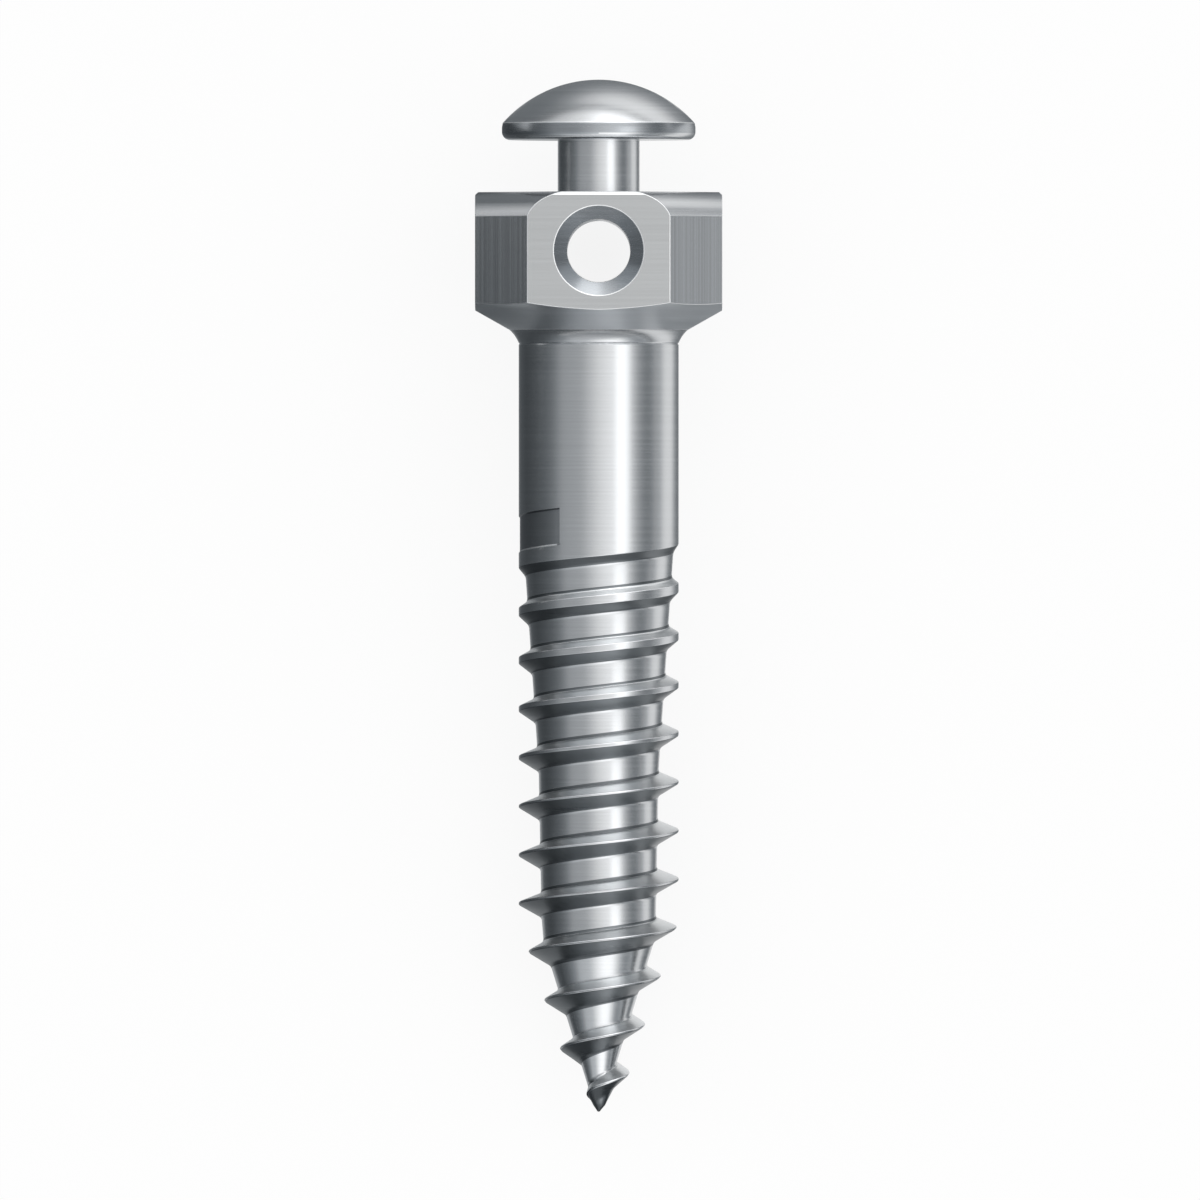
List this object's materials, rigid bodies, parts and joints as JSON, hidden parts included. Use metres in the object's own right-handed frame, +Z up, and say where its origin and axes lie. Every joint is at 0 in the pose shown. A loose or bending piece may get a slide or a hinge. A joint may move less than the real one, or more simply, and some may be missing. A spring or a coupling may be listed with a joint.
{
  "type": "orthodontic mini screw",
  "caption": "One-piece orthodontic mini screw: domed button, square head with a cross hole, smooth shank and tapered self-drilling thread.",
  "frame": {"origin": "centre of the bottom of the bounding box, on the surface that the screw lies on", "axes": "+Y along the screw towards its head (the axis dips 4.1 degrees towards the tip), +Z up through the ligature hole, +X across"},
  "size_m": [0.0024, 0.0102, 0.0025],
  "materials": {
    "titanium": "polished titanium alloy, finely brushed on the milled flats"
  },
  "bodies": {
    "root": {"mini_screw": "titanium"}
  },
  "joints": []
}
